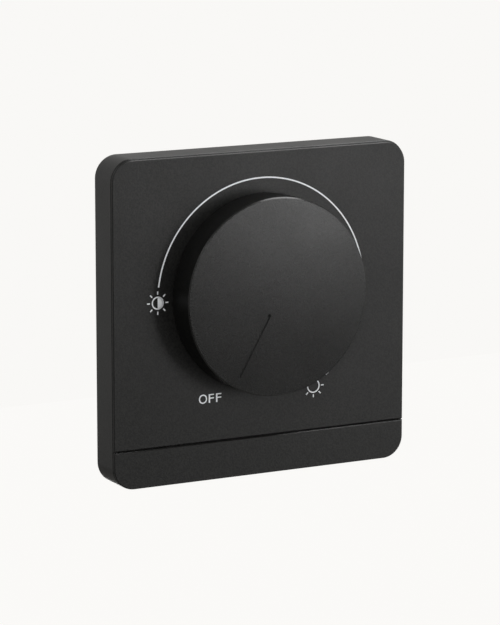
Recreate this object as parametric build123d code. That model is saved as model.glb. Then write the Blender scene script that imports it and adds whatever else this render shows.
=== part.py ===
from build123d import *
from math import cos, radians, sin
import os

# A rotary dimmer switch on a square wall plate, upright as it hangs on the wall.
# X runs to the right, Z runs up and the room lies towards -Y. Sizes are in millimetres.
# A height is a distance from the wall plane towards the room, so whatever sits in the wall box
# has a negative height. The origin is midway between the two fixing slots, on the wall plane.

# Clearances
press_gap = 0.02  # parts pushed together by hand
running_gap = 0.05  # spindle in its bushing and in the switch, on the radius
slip_gap = 0.1  # pegs, pins and screws in their holes, on the radius
air_gap = 0.3  # mouldings that lie beside each other

# Cover: surround frame, front plate and lower strip
plate_size = 87.0
plate_corner = 6.0
plate_depth = 10.2  # wall plane to the front of the plate
frame_wall = 2.4
lip_wall = 1.1  # thin front lip of the frame, outside the front plate's rebate
lip_chamfer = 0.2
pry_width = 9.0
pry_height = 1.2
fascia_thick = 2.0
fascia_edge = 0.6  # thickness that shows at the plate's edge
edge_chamfer = 0.28
seam = 0.25  # shadow gap between the frame's lip and the plate's edge
strip_height = 10.2
strip_thick = 1.2
strip_gap = 0.4
peg_r = 1.2
peg_head_r = 1.9
peg_head = 0.7
peg_pitch = 60.0

# Knob
knob_z = 5.85
knob_r = 26.4
knob_height = 9.2  # front of the plate to the knob's face
knob_base_gap = 0.4
knob_wall = 2.0
knob_top = 2.0
knob_bevel = 0.3
hub_r = 5.0
hub_recess = 0.4  # the hub ends this far inside the knob's rim
hub_slit = 1.0
hub_slit_depth = 4.2
rib_count = 6
rib_thick = 1.2
rib_depth = 3.0
off_angle = 240.0  # the pointer aims at OFF, counted from +X, counterclockwise from the room
pointer_start = 5.25
pointer_end = 23.5
pointer_width = 0.8
pointer_depth = 0.4
ring_thick = 0.5
ring_width = 1.6
ring_gap = 1.4

# Spindle, bushing and their fastenings
spindle_r = 3.0
spindle_flat = 1.5  # from the axis to the flat of the D
spindle_play = 0.2  # end of the spindle to the bottom of the knob's bore
tail_r = 2.0
bushing_r = 4.0
bushing_drop = 1.4  # the bushing ends this far below the front of the plate
bushing_flange_r = 5.5
bushing_flange = 0.6
clip_r = 5.0
clip_thick = 0.6
clip_groove = 0.6
clip_mouth = 3.6
washer_r = 6.6
washer_thick = 0.6
nut_flats = 12.0
nut_thick = 2.0

# Potentiometer with its end stop, and the switch behind it
case_r = 9.0
case_depth = 5.0
case_wall = 1.0
case_key = (3.0, 1.2)
case_key_r = 7.3
case_key_height = 1.1
wafer_thick = 1.0
rotor_r = 5.8
rotor_thick = 1.5
lug_r = 7.2
stop_r = 6.3
stop_half_angle = 13.0  # of the case's stop and of the rotor's lug
wiper_inner_r = 3.8
wiper_outer_r = 5.2
wiper_arc = 80.0
wiper_sheet = 0.2
switch_r = 6.0
switch_depth = 4.5
switch_bore_depth = 2.8
pin_r = 0.4
pin_tail = 0.6  # how far a lead stands out behind or in front of the board
wafer_pin_r = 6.9
wafer_pin_step = 30.0
switch_pin_pitch = 6.0

# Carrier plate
carrier_thick = 3.0
carrier_land = 1.0  # the carrier laps this far over the housing's inside
corner_land = 5.2
upstand_wall = 1.5
upstand_drop = 2.0  # upstand ends this far below the back of the front plate
window_bar = 1.0
fixing_pitch = 60.3
slot_r = 2.1
slot_length = 8.2
ear_half = 9.0
pocket_depth = 1.4
pocket_rib = 1.4
pocket_count = 4
rim_width = 2.6
hook_width = 9.0
hook_z = 22.0
hook_thick = 1.4
hook_barb = 1.2
hook_nose = 0.5

# Rear housing
housing_w = 48.0
housing_h = 52.0
housing_depth = 26.0
housing_wall = 1.8
housing_corner = 5.0
housing_bevel = 2.0
boss_r = 2.6
boss_sink = 0.5  # how far a boss is sunk into the walls of its corner
boss_step = 1.2
vent_count = 7
vent_width = 1.6
vent_pitch = 4.2
vent_length = 11.0
pocket_wall = 1.2
pocket_height = 7.0

# Heat sink and housing screws
sink_thick = 1.5
sink_margin = 2.0
sink_flange_drop = 1.0  # flange ends this far below the back of the front plate
sink_bend_r = 0.4
screw_r = 1.25
screw_head_r = 2.3
screw_head = 1.4
screw_length = 11.0
cross_width = 0.6
cross_depth = 0.6

# Circuit board
board_thick = 1.6
board_standoff = 1.5

# Triac with its pad, screw and nut, flat on the back of the heat sink
triac_z = -14.6
triac_width = 10.0
tab_length = 15.6
tab_thick = 1.3
triac_body = 9.2
triac_thick = 4.4
triac_hole_inset = 2.8
triac_pitch = 2.54
triac_reach = 2.4
lead_width = 0.7
pad_thick = 0.3
pad_margin = 0.5
m3_r = 1.45
m3_head_r = 2.7
m3_head = 1.5
m3_flats = 5.5
m3_nut = 2.2

# Terminals
terminal_pitch = 18.0
pillar_w = 7.0
pillar_l = 9.0
pillar_h = 9.0
wire_r = 1.75
wire_drop = 5.7  # floor of the housing to the wire bore's axis
entry_r = 2.4
terminal_screw_r = 1.5
terminal_head_r = 2.3
terminal_head = 1.3
tag_width = 2.0
tag_thick = 0.8

# Parts behind the board
fuse_length = 20.0
fuse_r = 2.4
fuse_glass = 0.5
cap_length = 5.0
cap_wall = 0.2
clip_sheet = 0.4
fuse_clip_length = 3.4
fuse_z = -8.0
film_size = (18.0, 8.0, 12.0)
film_pitch = 15.0
part_gap = 1.0
choke_r = 3.0
choke_length = 26.0
wire_gauge = 1.4
turn_count = 12

# Parts in front of the board
timing_place = (-15.4, -1.0)
timing_size = (7.2, 2.6, 6.5)
timing_pitch = 5.0
resistor_places = [(13.2, -2.0), (17.0, -2.0)]
resistor_r = 1.2
resistor_length = 6.3
diac_place = (15.0, 13.0)
diac_r = 0.9
diac_length = 3.8
lead_r = 0.3
lead_reach = 1.6
trimmer_place = (-15.0, 13.5)
trimmer_size = 6.6
trimmer_height = 3.4
trimmer_rotor_r = 2.2
trimmer_rotor = 0.5
trimmer_pitch = 5.0

# Heights that several pieces share
fascia_back = plate_depth - fascia_thick
edge_low = plate_depth - fascia_edge
lip_top = edge_low - seam
strip_back = plate_depth - strip_thick
sink_back = carrier_thick
sink_front = sink_back + sink_thick
wafer_back = sink_back - case_depth
wafer_front = wafer_back + wafer_thick
rotor_back = wafer_front + wiper_sheet * 2 + slip_gap
rotor_front = rotor_back + rotor_thick
switch_back = wafer_back - switch_depth
board_front = switch_back - board_standoff
board_back = board_front - board_thick
lead_end = board_back - pin_tail
behind_tails = lead_end - air_gap
floor_back = -housing_depth
floor_front = floor_back + housing_wall
bushing_top = plate_depth - bushing_drop
clip_low = bushing_top + slip_gap
knob_front = plate_depth + knob_height
knob_base = plate_depth + knob_base_gap
bore_end = knob_front - knob_top - spindle_play
hub_low = knob_base + hub_recess
upstand_top = fascia_back - upstand_drop

# Outlines and places that several pieces share
frame_inner = plate_size - 2 * frame_wall
core_size = plate_size - 2 * (lip_wall + air_gap)
carrier_size = frame_inner - 2 * air_gap
carrier_corner = plate_corner - frame_wall - air_gap
strip_top = strip_height - plate_size / 2
fascia_bottom = strip_top + strip_gap
hook_face = carrier_size / 2 - upstand_wall - air_gap
inner_w = housing_w - 2 * housing_wall
inner_h = housing_h - 2 * housing_wall
boss_inset = housing_wall + boss_r - boss_sink
boss_x = housing_w / 2 - boss_inset
boss_z = housing_h / 2 - boss_inset
boss_places = [(sx * boss_x, sz * boss_z) for sx in (-1, 1) for sz in (-1, 1)]
case_inner_r = case_r - case_wall
tab_back = sink_back - pad_thick - tab_thick
triac_hole_x = tab_length / 2 - triac_hole_inset
terminal_xs = [-terminal_pitch / 2, terminal_pitch / 2]
pillar_low = air_gap - inner_h / 2
pillar_z = pillar_low + pillar_l / 2
wire_height = floor_front + wire_drop
fuse_axis = board_back - clip_sheet - cap_wall - fuse_r - slip_gap * 2
fuse_clip_r = fuse_r + cap_wall + slip_gap * 2
film_z = fuse_z + fuse_clip_r + clip_sheet + part_gap + film_size[1] / 2
winding_r = choke_r + press_gap + wire_gauge
choke_z = film_z + film_size[1] / 2 + part_gap + winding_r
choke_axis = behind_tails - winding_r
choke_axis_line = Axis((0, -choke_axis, choke_z), (1, 0, 0))
knob_axis = Axis((0, 0, knob_z), (0, -1, 0))


def slab(outline, low, high):
    """Extrude an outline, drawn as seen from the room, from one height to another."""
    return extrude(Plane.XZ.offset(low) * outline, amount=high - low)


def disc(radius, low, high, x=0, z=0):
    """A round bar along the depth of the switch."""
    return slab(Pos(x, z) * Circle(radius), low, high)


def block(width, tall, low, high, x=0, z=0):
    """A square bar along the depth of the switch."""
    return slab(Pos(x, z) * Rectangle(width, tall), low, high)


def bar_along_x(radius, start, end, height, z):
    """A round bar across the switch, from one x to another."""
    plane = Plane((start, -height, z), x_dir=(0, 1, 0), z_dir=(1, 0, 0))
    return extrude(plane * Circle(radius), amount=end - start)


def bar_along_z(radius, start, end, height, x):
    """A round bar up the switch, from one z to another."""
    return extrude(Plane((x, -height, start)) * Circle(radius), amount=end - start)


def rounded_square(size, corner):
    """A square outline with round corners, centred on the plate."""
    return RectangleRounded(size, size, corner)


def half_above(level):
    """An outline that covers everything on the plate above one level."""
    return Pos(0, level + plate_size) * Rectangle(2 * plate_size, 2 * plate_size)


def half_below(level):
    """An outline that covers everything on the plate below one level."""
    return Pos(0, level - plate_size) * Rectangle(2 * plate_size, 2 * plate_size)


def sector(outer_r, half_angle, middle):
    """A wedge of a circle about the knob's axis, as an outline."""
    far = outer_r / cos(radians(half_angle))
    ends = [radians(middle - half_angle), radians(middle + half_angle)]
    wedge = Polygon((0, 0), *[(far * cos(a), far * sin(a)) for a in ends])
    return Pos(0, knob_z) * (wedge & Circle(outer_r))


def on_circle(radius, angle):
    """The place at an angle on a circle about the knob's axis."""
    return radius * cos(radians(angle)), knob_z + radius * sin(radians(angle))


def chamfer_front(piece, length):
    """Bevel all edges of a piece's front face."""
    return chamfer(piece.faces().sort_by(Axis.Y)[0].edges(), length)


def make_surround_frame():
    """Moulded side walls: a square ring with a thin front lip and a notch for prying it off."""
    frame = chamfer_front(slab(rounded_square(plate_size, plate_corner), 0, lip_top), lip_chamfer)
    frame -= slab(rounded_square(frame_inner, plate_corner - frame_wall), 0, fascia_back)
    rebate = rounded_square(plate_size - 2 * lip_wall, plate_corner - lip_wall)
    frame -= slab(rebate, fascia_back, lip_top)
    return frame - block(pry_width, 2 * frame_wall, 0, pry_height, z=frame_wall / 2 - plate_size / 2)


def make_clip_hook():
    """One snap hook of the front plate, on the right: a leg with a barb that faces outwards."""
    barb_top = upstand_top - window_bar - slip_gap
    tip = carrier_thick + air_gap
    profile = Polygon(
        (hook_face - hook_thick, fascia_back),
        (hook_face - hook_thick, tip),
        (hook_face, tip),
        (hook_face + hook_barb, barb_top - hook_nose),
        (hook_face + hook_barb, barb_top),
        (hook_face, barb_top),
        (hook_face, fascia_back),
    )
    side = Plane((0, 0, hook_width / 2), x_dir=(1, 0, 0), z_dir=(0, 0, -1))
    return extrude(side * profile, amount=hook_width, dir=(0, 0, -1))


def make_front_plate():
    """The fascia: rebated edge over the frame's lip, tongue behind the strip, four snap hooks."""
    outline = rounded_square(plate_size, plate_corner)
    core = rounded_square(core_size, plate_corner - lip_wall - air_gap)
    face = chamfer_front(slab(outline & half_above(fascia_bottom), edge_low, plate_depth), edge_chamfer)
    plate = face + slab(core & half_above(fascia_bottom), strip_back, edge_low)
    plate += slab(core, fascia_back, strip_back)
    hook = make_clip_hook()
    for z in (-hook_z, hook_z):
        plate += Pos(0, 0, z) * hook
        plate += Pos(0, 0, z) * mirror(hook, about=Plane.YZ)
    for x in (-peg_pitch / 2, peg_pitch / 2):
        plate -= disc(peg_r + slip_gap, fascia_back, strip_back, x, strip_top - strip_height / 2)
    nut_corner = nut_flats / 2 / cos(radians(30))
    return plate - disc(nut_corner + air_gap, fascia_back, plate_depth, z=knob_z)


def make_lower_strip():
    """The strip below the groove, held by two staked pegs through the front plate's tongue."""
    outline = rounded_square(plate_size, plate_corner)
    core = rounded_square(core_size, plate_corner - lip_wall - air_gap)
    strip = chamfer_front(slab(outline & half_below(strip_top), edge_low, plate_depth), edge_chamfer)
    strip += slab(core & half_below(strip_top), strip_back, edge_low)
    for x in (-peg_pitch / 2, peg_pitch / 2):
        strip += disc(peg_r, fascia_back, strip_back, x, strip_top - strip_height / 2)
        strip += disc(peg_head_r, fascia_back - peg_head, fascia_back, x, strip_top - strip_height / 2)
    return strip


def spindle_section(radius):
    """The D of the spindle's end, with its flat turned away from the pointer."""
    flat_start = spindle_flat + radius - spindle_r
    flat = Pos(flat_start, 0) * Rectangle(4 * radius, 4 * radius, align=(Align.MIN, Align.CENTER))
    return Pos(0, knob_z) * Rot(0, 0, off_angle + 180) * (Circle(radius) - flat)


def make_pointer_cut():
    """The pointer groove: a straight-sided slot with round ends, from near the hub to the rim."""
    slot = SlotOverall(pointer_end - pointer_start, pointer_width)
    slot = Pos((pointer_start + pointer_end) / 2, 0) * slot
    turned = Pos(0, knob_z) * Rot(0, 0, off_angle) * slot
    return slab(turned, knob_front - pointer_depth, knob_front + pointer_depth)


def make_control_knob():
    """Hollow moulded knob: turned shell, ribbed inside, with a slit hub and a pointer groove."""
    under = knob_front - knob_top
    profile = Polygon(
        (0, knob_front),
        (0, under),
        (knob_r - knob_wall, under),
        (knob_r - knob_wall, knob_base),
        (knob_r, knob_base),
        (knob_r, knob_front - knob_bevel),
        (knob_r - knob_bevel, knob_front),
    )
    across = Plane((0, 0, knob_z), x_dir=(1, 0, 0), z_dir=(0, 0, -1))
    knob = revolve(across * profile, knob_axis)
    knob += disc(hub_r, hub_low, under, z=knob_z)
    rib_length = knob_r - knob_wall / 2
    rib = Pos(rib_length / 2, 0) * Rectangle(rib_length, rib_thick)
    for i in range(rib_count):
        turned = Pos(0, knob_z) * Rot(0, 0, off_angle + (i + 0.5) * 360 / rib_count) * rib
        knob += slab(turned, under - rib_depth, under)
    slit = Pos(0, knob_z) * Rot(0, 0, off_angle + 90) * Rectangle(3 * hub_r, hub_slit)
    knob -= slab(slit, hub_low, hub_low + hub_slit_depth) & disc(hub_r, hub_low, under, z=knob_z)
    knob -= slab(spindle_section(spindle_r + press_gap), hub_low, bore_end)
    return knob - make_pointer_cut()


def make_knob_ring():
    """Split spring ring that closes the knob's hub on the spindle."""
    ring = Circle(hub_r + press_gap + ring_thick) - Circle(hub_r + press_gap)
    mouth = Rot(0, 0, off_angle + 90) * Pos(hub_r, 0) * Rectangle(hub_r, ring_gap)
    low = hub_low + hub_recess
    return slab(Pos(0, knob_z) * (ring - mouth), low, low + ring_width)


def make_spindle():
    """Turned spindle: tail for the switch, groove for the retaining ring and a D end."""
    flat_low = hub_low - hub_recess
    shaft = disc(spindle_r, rotor_back, flat_low, z=knob_z)
    shaft += slab(spindle_section(spindle_r), flat_low, bore_end - spindle_play)
    shaft += disc(tail_r, wafer_back - switch_bore_depth + spindle_play, rotor_back, z=knob_z)
    groove = Circle(spindle_r + clip_groove) - Circle(spindle_r - clip_groove)
    return shaft - slab(Pos(0, knob_z) * groove, clip_low, clip_low + clip_thick)


def make_retaining_ring():
    """Sheet retaining ring in the spindle's groove, open on one side."""
    inner = spindle_r - clip_groove + press_gap
    mouth = Pos(clip_r, 0) * Rectangle(2 * clip_r, clip_mouth)
    ring = Circle(clip_r) - Circle(inner) - mouth
    return slab(Pos(0, knob_z) * ring, clip_low + press_gap, clip_low + clip_thick - press_gap)


def make_potentiometer_bushing():
    """Brass bushing with a flange inside the case, through the heat sink to the front."""
    inside = sink_back - case_wall
    bushing = disc(bushing_r, inside, bushing_top, z=knob_z)
    bushing += disc(bushing_flange_r, inside - bushing_flange, inside, z=knob_z)
    return bushing - disc(spindle_r + running_gap, inside - bushing_flange, bushing_top, z=knob_z)


def make_bushing_washer():
    """Plain washer under the bushing nut."""
    ring = Circle(washer_r) - Circle(bushing_r + slip_gap)
    return slab(Pos(0, knob_z) * ring, sink_front, sink_front + washer_thick)


def make_bushing_nut():
    """Hexagon nut that clamps the potentiometer to the heat sink."""
    hexagon = RegularPolygon(nut_flats / 2, 6, major_radius=False) - Circle(bushing_r + running_gap)
    low = sink_front + washer_thick
    return slab(Pos(0, knob_z) * hexagon, low, low + nut_thick)


def make_potentiometer_case():
    """Cup of the potentiometer, with the end stop inside and the locating key in front."""
    cup = disc(case_r, wafer_back, sink_back, z=knob_z)
    cup -= disc(case_inner_r, wafer_back, sink_back - case_wall, z=knob_z)
    stop = sector(case_r - case_wall / 2, stop_half_angle, 270) - Pos(0, knob_z) * Circle(stop_r)
    cup += slab(stop, wafer_front, sink_back - case_wall)
    cup += block(*case_key, sink_back, sink_back + case_key_height, z=knob_z + case_key_r)
    return cup - disc(bushing_r + slip_gap, sink_back - case_wall, sink_back, z=knob_z)


def wafer_pins():
    """Places of the three potentiometer pins."""
    return [on_circle(wafer_pin_r, 270 + step * wafer_pin_step) for step in (-1, 0, 1)]


def make_potentiometer_wafer():
    """Track wafer that closes the case, with its three pins to the board."""
    wafer = disc(case_inner_r - slip_gap, wafer_back, wafer_front, z=knob_z)
    wafer -= disc(tail_r + air_gap, wafer_back, wafer_front, z=knob_z)
    for x, z in wafer_pins():
        wafer += disc(pin_r, lead_end, wafer_back, x, z)
    return wafer


def make_potentiometer_rotor():
    """Rotor on the spindle, with the lug that meets the case's stop at both ends of the travel."""
    plan = Pos(0, knob_z) * Circle(rotor_r) + sector(lug_r, stop_half_angle, off_angle)
    return slab(plan - Pos(0, knob_z) * Circle(spindle_r + press_gap), rotor_back, rotor_front)


def make_potentiometer_wiper():
    """Spring-bronze wiper under the rotor, with one contact that runs on the track."""
    arm = sector(wiper_outer_r, wiper_arc / 2, off_angle) - Pos(0, knob_z) * Circle(wiper_inner_r)
    x, z = on_circle((wiper_inner_r + wiper_outer_r) / 2, off_angle)
    contact = disc((wiper_outer_r - wiper_inner_r) / 3, wafer_front + slip_gap, rotor_back, x, z)
    return slab(arm, rotor_back - wiper_sheet, rotor_back) + contact


def switch_pins():
    """Places of the two switch pins."""
    return [(side * switch_pin_pitch / 2, knob_z + tail_r) for side in (-1, 1)]


def make_off_switch():
    """Sealed switch behind the potentiometer, turned by the spindle's tail."""
    body = disc(switch_r, switch_back, wafer_back, z=knob_z)
    body -= disc(tail_r + running_gap, wafer_back - switch_bore_depth, wafer_back, z=knob_z)
    for x, z in switch_pins():
        body += disc(pin_r, lead_end, switch_back, x, z)
    return body


def make_heat_sink():
    """Folded aluminium plate in front of the carrier, with a flange along its top and bottom."""
    tall = housing_h + 2 * sink_margin
    top = fascia_back - sink_flange_drop
    sink = block(housing_w, tall, sink_back, top)
    sink -= block(housing_w, tall - 2 * sink_thick, sink_front, top)
    bends = sink.edges().filter_by(Axis.X).group_by(Axis.Y)
    sink = fillet(bends[-1], sink_bend_r + sink_thick)
    folds = sink.edges().filter_by(Axis.X).filter_by(lambda e: abs(e.center().Y + sink_front) < press_gap)
    sink = fillet(folds, sink_bend_r)
    sink -= disc(bushing_r + slip_gap, sink_back, sink_front, z=knob_z)
    key_w, key_h = [side + 2 * slip_gap for side in case_key]
    sink -= block(key_w, key_h, sink_back, sink_front, z=knob_z + case_key_r)
    sink -= disc(m3_r + slip_gap, sink_back, sink_front, triac_hole_x, triac_z)
    for x, z in boss_places:
        sink -= disc(screw_r + air_gap, sink_back, sink_front, x, z)
    return sink


def make_carrier_plate():
    """Moulded carrier on the wall: fixing slots, cored back, upstand with windows for the hooks."""
    outline = rounded_square(carrier_size, carrier_corner)
    inside = rounded_square(carrier_size - 2 * upstand_wall, carrier_corner - upstand_wall)
    plate = slab(outline, 0, carrier_thick) + slab(outline - inside, carrier_thick, upstand_top)
    wide = inner_w - 2 * carrier_land
    tall = inner_h - 2 * carrier_land
    opening = Rectangle(wide, tall - 2 * corner_land) + Rectangle(wide - 2 * corner_land, tall)
    plate -= slab(opening, 0, carrier_thick)
    slots = [Pos(side * fixing_pitch / 2, 0) * SlotOverall(slot_length, 2 * slot_r) for side in (-1, 1)]
    plate -= slab(Sketch() + slots, 0, carrier_thick)
    for x, z in boss_places:
        plate -= disc(screw_r + air_gap, 0, carrier_thick, x, z)
    for x in (-1, 1):
        for z in (-hook_z, hook_z):
            plate -= block(
                4 * upstand_wall,
                hook_width + 2 * air_gap,
                carrier_thick,
                upstand_top - window_bar,
                x * carrier_size / 2,
                z,
            )
    return plate - slab(Sketch() + carrier_pockets(), 0, pocket_depth)


def carrier_pockets():
    """Outlines of the shallow pockets that core the carrier's back around the housing."""
    far = carrier_size / 2 - rim_width
    near_x = housing_w / 2 + pocket_rib
    near_z = housing_h / 2 + pocket_rib
    step = 2 * far / pocket_count
    pockets = []
    for side in (-1, 1):
        for i in range(pocket_count):
            place = Pos((i + 0.5) * step - far, side * (near_z + far) / 2)
            pockets.append(place * Rectangle(step - pocket_rib, far - near_z))
        for end in (-1, 1):
            place = Pos(side * (near_x + far) / 2, end * (near_z - pocket_rib + ear_half) / 2)
            pockets.append(place * Rectangle(far - near_x, near_z - pocket_rib - ear_half))
    return pockets


def make_rear_housing():
    """Open box in the wall: corner bosses with board seats, vents, terminal pockets and entries."""
    solid = slab(RectangleRounded(housing_w, housing_h, housing_corner), floor_back, 0)
    solid = chamfer(solid.faces().sort_by(Axis.Y)[-1].edges(), housing_bevel)
    cavity = RectangleRounded(inner_w, inner_h, housing_corner - housing_wall)
    housing = solid - slab(cavity, floor_front, 0)
    for x, z in boss_places:
        boss = disc(boss_r, floor_front, 0, x, z) + disc(boss_r + boss_step, floor_front, board_back, x, z)
        housing += boss & solid
    for x, z in boss_places:
        housing -= disc(screw_r + running_gap, sink_front - screw_length - part_gap, 0, x, z)
    for i in range(vent_count):
        x = (i - (vent_count - 1) / 2) * vent_pitch
        middle = floor_front / 2
        slot = block(vent_width, 2 * housing_wall, middle - vent_length / 2, middle + vent_length / 2, x)
        housing -= Pos(0, 0, housing_h / 2 - housing_wall / 2) * slot
    for x in terminal_xs:
        housing += make_terminal_pocket(x)
        housing -= bar_along_z(entry_r, -housing_h / 2, pillar_low, wire_height, x)
        housing -= disc(terminal_head_r + air_gap, floor_back, floor_front, x, pillar_z)
    return housing


def make_terminal_pocket(x):
    """Walls on three sides of one terminal pillar, standing on the housing's floor."""
    top = floor_front + pocket_height
    wide = pillar_w + 2 * (air_gap + pocket_wall)
    tall = pillar_l + air_gap + pocket_wall
    low = pillar_low - air_gap
    walls = block(wide, tall, floor_front, top, x, low + tall / 2)
    room = pillar_l + 2 * air_gap
    return walls - block(pillar_w + 2 * air_gap, room, floor_front, top, x, low + room / 2)


def make_cross_screw(x, z, seat, head_r, head, shank_r, tip, side):
    """A pan-head screw with a cross recess; side is 1 for a head towards the room, -1 for the back."""
    crown = seat + side * head
    screw = disc(head_r, min(seat, crown), max(seat, crown), x, z)
    screw += disc(shank_r, min(seat, tip), max(seat, tip), x, z)
    foot = crown - side * cross_depth
    cross = Rectangle(1.4 * head_r, cross_width) + Rectangle(cross_width, 1.4 * head_r)
    return screw - slab(Pos(x, z) * cross, min(foot, crown), max(foot, crown))


def make_housing_screws():
    """Four screws that clamp the heat sink and the carrier to the housing's bosses."""
    tip = sink_front - screw_length
    return Part() + [
        make_cross_screw(x, z, sink_front, screw_head_r, screw_head, screw_r, tip, 1)
        for x, z in boss_places
    ]


def triac_pins():
    """Places of the three triac leads."""
    x = -tab_length / 2 - triac_reach
    return [(x, triac_z + step * triac_pitch) for step in (-1, 0, 1)]


def make_triac():
    """Power triac: metal tab and moulded body, with leads bent back to the board."""
    front = sink_back - pad_thick
    triac = block(tab_length, triac_width, tab_back, front, 0, triac_z)
    body_x = (triac_body - tab_length) / 2
    triac += block(triac_body, triac_width, front - triac_thick, tab_back, body_x, triac_z)
    triac -= disc(m3_r + slip_gap, tab_back, front, triac_hole_x, triac_z)
    level = front - triac_thick / 2
    for x, z in triac_pins():
        arm = triac_reach + lead_width
        triac += block(arm, lead_width, level - lead_width, level, x + triac_reach / 2, z)
        triac += block(lead_width, lead_width, lead_end, level, x, z)
    return triac


def make_triac_pad():
    """Insulating pad between the triac's tab and the heat sink."""
    wide = tab_length + 2 * pad_margin
    tall = triac_width + 2 * pad_margin
    pad = block(wide, tall, sink_back - pad_thick, sink_back, 0, triac_z)
    return pad - disc(m3_r + slip_gap, sink_back - pad_thick, sink_back, triac_hole_x, triac_z)


def make_triac_screw():
    """Screw through the heat sink and the triac's tab."""
    tip = tab_back - m3_nut - pin_tail
    return make_cross_screw(triac_hole_x, triac_z, sink_front, m3_head_r, m3_head, m3_r, tip, 1)


def make_triac_nut():
    """Hexagon nut behind the triac's tab."""
    hexagon = RegularPolygon(m3_flats / 2, 6, major_radius=False) - Circle(m3_r + running_gap)
    return slab(Pos(triac_hole_x, triac_z) * hexagon, tab_back - m3_nut, tab_back)


def make_terminal_pillars():
    """Two brass terminals: wire bore from below, screw thread from behind, tag to the board."""
    top = floor_front + pillar_h
    pillars = []
    for x in terminal_xs:
        pillar = block(pillar_w, pillar_l, floor_front, top, x, pillar_z)
        pillar += block(tag_width, tag_thick, top, board_front + pin_tail, x, pillar_z)
        pillar -= disc(terminal_screw_r + running_gap, floor_front, wire_height, x, pillar_z)
        pillars.append(pillar - bar_along_z(wire_r, pillar_low, pillar_low + pillar_l, wire_height, x))
    return Part() + pillars


def make_terminal_screws():
    """Two clamp screws, backed off as delivered so that a wire can go in."""
    tip = wire_height - wire_r - slip_gap
    return Part() + [
        make_cross_screw(x, pillar_z, floor_front, terminal_head_r, terminal_head, terminal_screw_r, tip, -1)
        for x in terminal_xs
    ]


def fuse_ends():
    """Start and end of each fuse cap along X."""
    half = fuse_length / 2
    return [(-half, cap_length - half), (half - cap_length, half)]


def make_fuse_tube():
    """Glass tube of the fuse."""
    half = fuse_length / 2 - cap_wall - press_gap
    tube = bar_along_x(fuse_r, -half, half, fuse_axis, fuse_z)
    return tube - bar_along_x(fuse_r - fuse_glass, -half, half, fuse_axis, fuse_z)


def make_fuse_caps():
    """Two metal caps on the ends of the fuse."""
    inner = fuse_length / 2 - cap_wall
    bore = bar_along_x(fuse_r + press_gap, -inner, inner, fuse_axis, fuse_z)
    outer_r = fuse_r + press_gap + cap_wall
    return Part() + [bar_along_x(outer_r, start, end, fuse_axis, fuse_z) - bore for start, end in fuse_ends()]


def fuse_pins():
    """Places of the two fuse clip pins."""
    return [((start + end) / 2, fuse_z) for start, end in fuse_ends()]


def make_fuse_clips():
    """Two spring clips on the board that grip the fuse's caps, open towards the back."""
    clips = []
    for x, z in fuse_pins():
        start = x - fuse_clip_length / 2
        end = x + fuse_clip_length / 2
        clip = bar_along_x(fuse_clip_r + clip_sheet, start, end, fuse_axis, z)
        foot = block(fuse_clip_length, fuse_clip_r, fuse_axis, board_back, x, z)
        clip = clip + foot - bar_along_x(fuse_clip_r, start, end, fuse_axis, z)
        mouth = fuse_axis - fuse_clip_r * sin(radians(40))
        clip -= block(2 * fuse_clip_length, 4 * fuse_clip_r, fuse_axis - 2 * fuse_clip_r, mouth, x, z)
        clips.append(clip + disc(pin_r, board_back, board_front + pin_tail, x, z))
    return Part() + clips


def film_pins():
    """Places of the two film capacitor leads."""
    return [(side * film_pitch / 2, film_z) for side in (-1, 1)]


def make_film_capacitor():
    """Interference capacitor in a moulded box behind the board."""
    width, tall, deep = film_size
    body = block(width, tall, behind_tails - deep, behind_tails, 0, film_z)
    for x, z in film_pins():
        body += disc(pin_r, behind_tails, board_front + pin_tail, x, z)
    return body


def make_choke_core():
    """Ferrite rod of the choke."""
    return bar_along_x(choke_r, -choke_length / 2, choke_length / 2, choke_axis, choke_z)


def choke_pins():
    """Places of the two ends of the choke's wire."""
    half = turn_count * wire_gauge / 2 - wire_gauge / 2
    return [(-half, choke_z), (half, choke_z)]


def make_choke_winding():
    """One layer of enamelled wire on the rod, turn beside turn, with both ends in the board."""
    start = -turn_count * wire_gauge / 2
    inner = choke_r + press_gap
    points = [(start + turn_count * wire_gauge, inner), (start, inner)]
    for turn in range(turn_count):
        x = start + turn * wire_gauge
        points += [(x, inner + wire_gauge / 2), (x + wire_gauge / 2, winding_r)]
    points.append((start + turn_count * wire_gauge, inner + wire_gauge / 2))
    along = Plane((0, -choke_axis, choke_z), x_dir=(1, 0, 0), z_dir=(0, -1, 0))
    winding = revolve(along * Polygon(*points), choke_axis_line)
    hole = bar_along_x(inner, -choke_length, choke_length, choke_axis, choke_z)
    for x, z in choke_pins():
        winding += disc(wire_gauge / 3, choke_axis, board_front + pin_tail, x, z) - hole
    return winding


def timing_pins():
    """Places of the two timing capacitor leads."""
    x, z = timing_place
    return [(x + side * timing_pitch / 2, z) for side in (-1, 1)]


def make_timing_capacitor():
    """Small film capacitor that sets the firing delay."""
    width, tall, high = timing_size
    body = block(width, tall, board_front, board_front + high, *timing_place)
    for x, z in timing_pins():
        body += disc(pin_r, lead_end, board_front, x, z)
    return body


def axial_pins(place, length):
    """Places of the two leads of a part that lies along Z on the board."""
    x, z = place
    return [(x, z + side * (length / 2 + lead_reach)) for side in (-1, 1)]


def make_axial(place, radius, length):
    """A small round part that lies along Z on the board, with leads bent back into it."""
    x, z = place
    level = board_front + radius
    half = length / 2
    part = bar_along_z(radius, z - half, z + half, level, x)
    part += bar_along_z(lead_r, z - half - lead_reach, z + half + lead_reach, level, x)
    for lead_x, lead_z in axial_pins(place, length):
        part += disc(lead_r, lead_end, level, lead_x, lead_z)
    return part


def make_resistors():
    """Two carbon film resistors."""
    return Part() + [make_axial(place, resistor_r, resistor_length) for place in resistor_places]


def make_diac():
    """Trigger diode of the triac."""
    return make_axial(diac_place, diac_r, diac_length)


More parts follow.
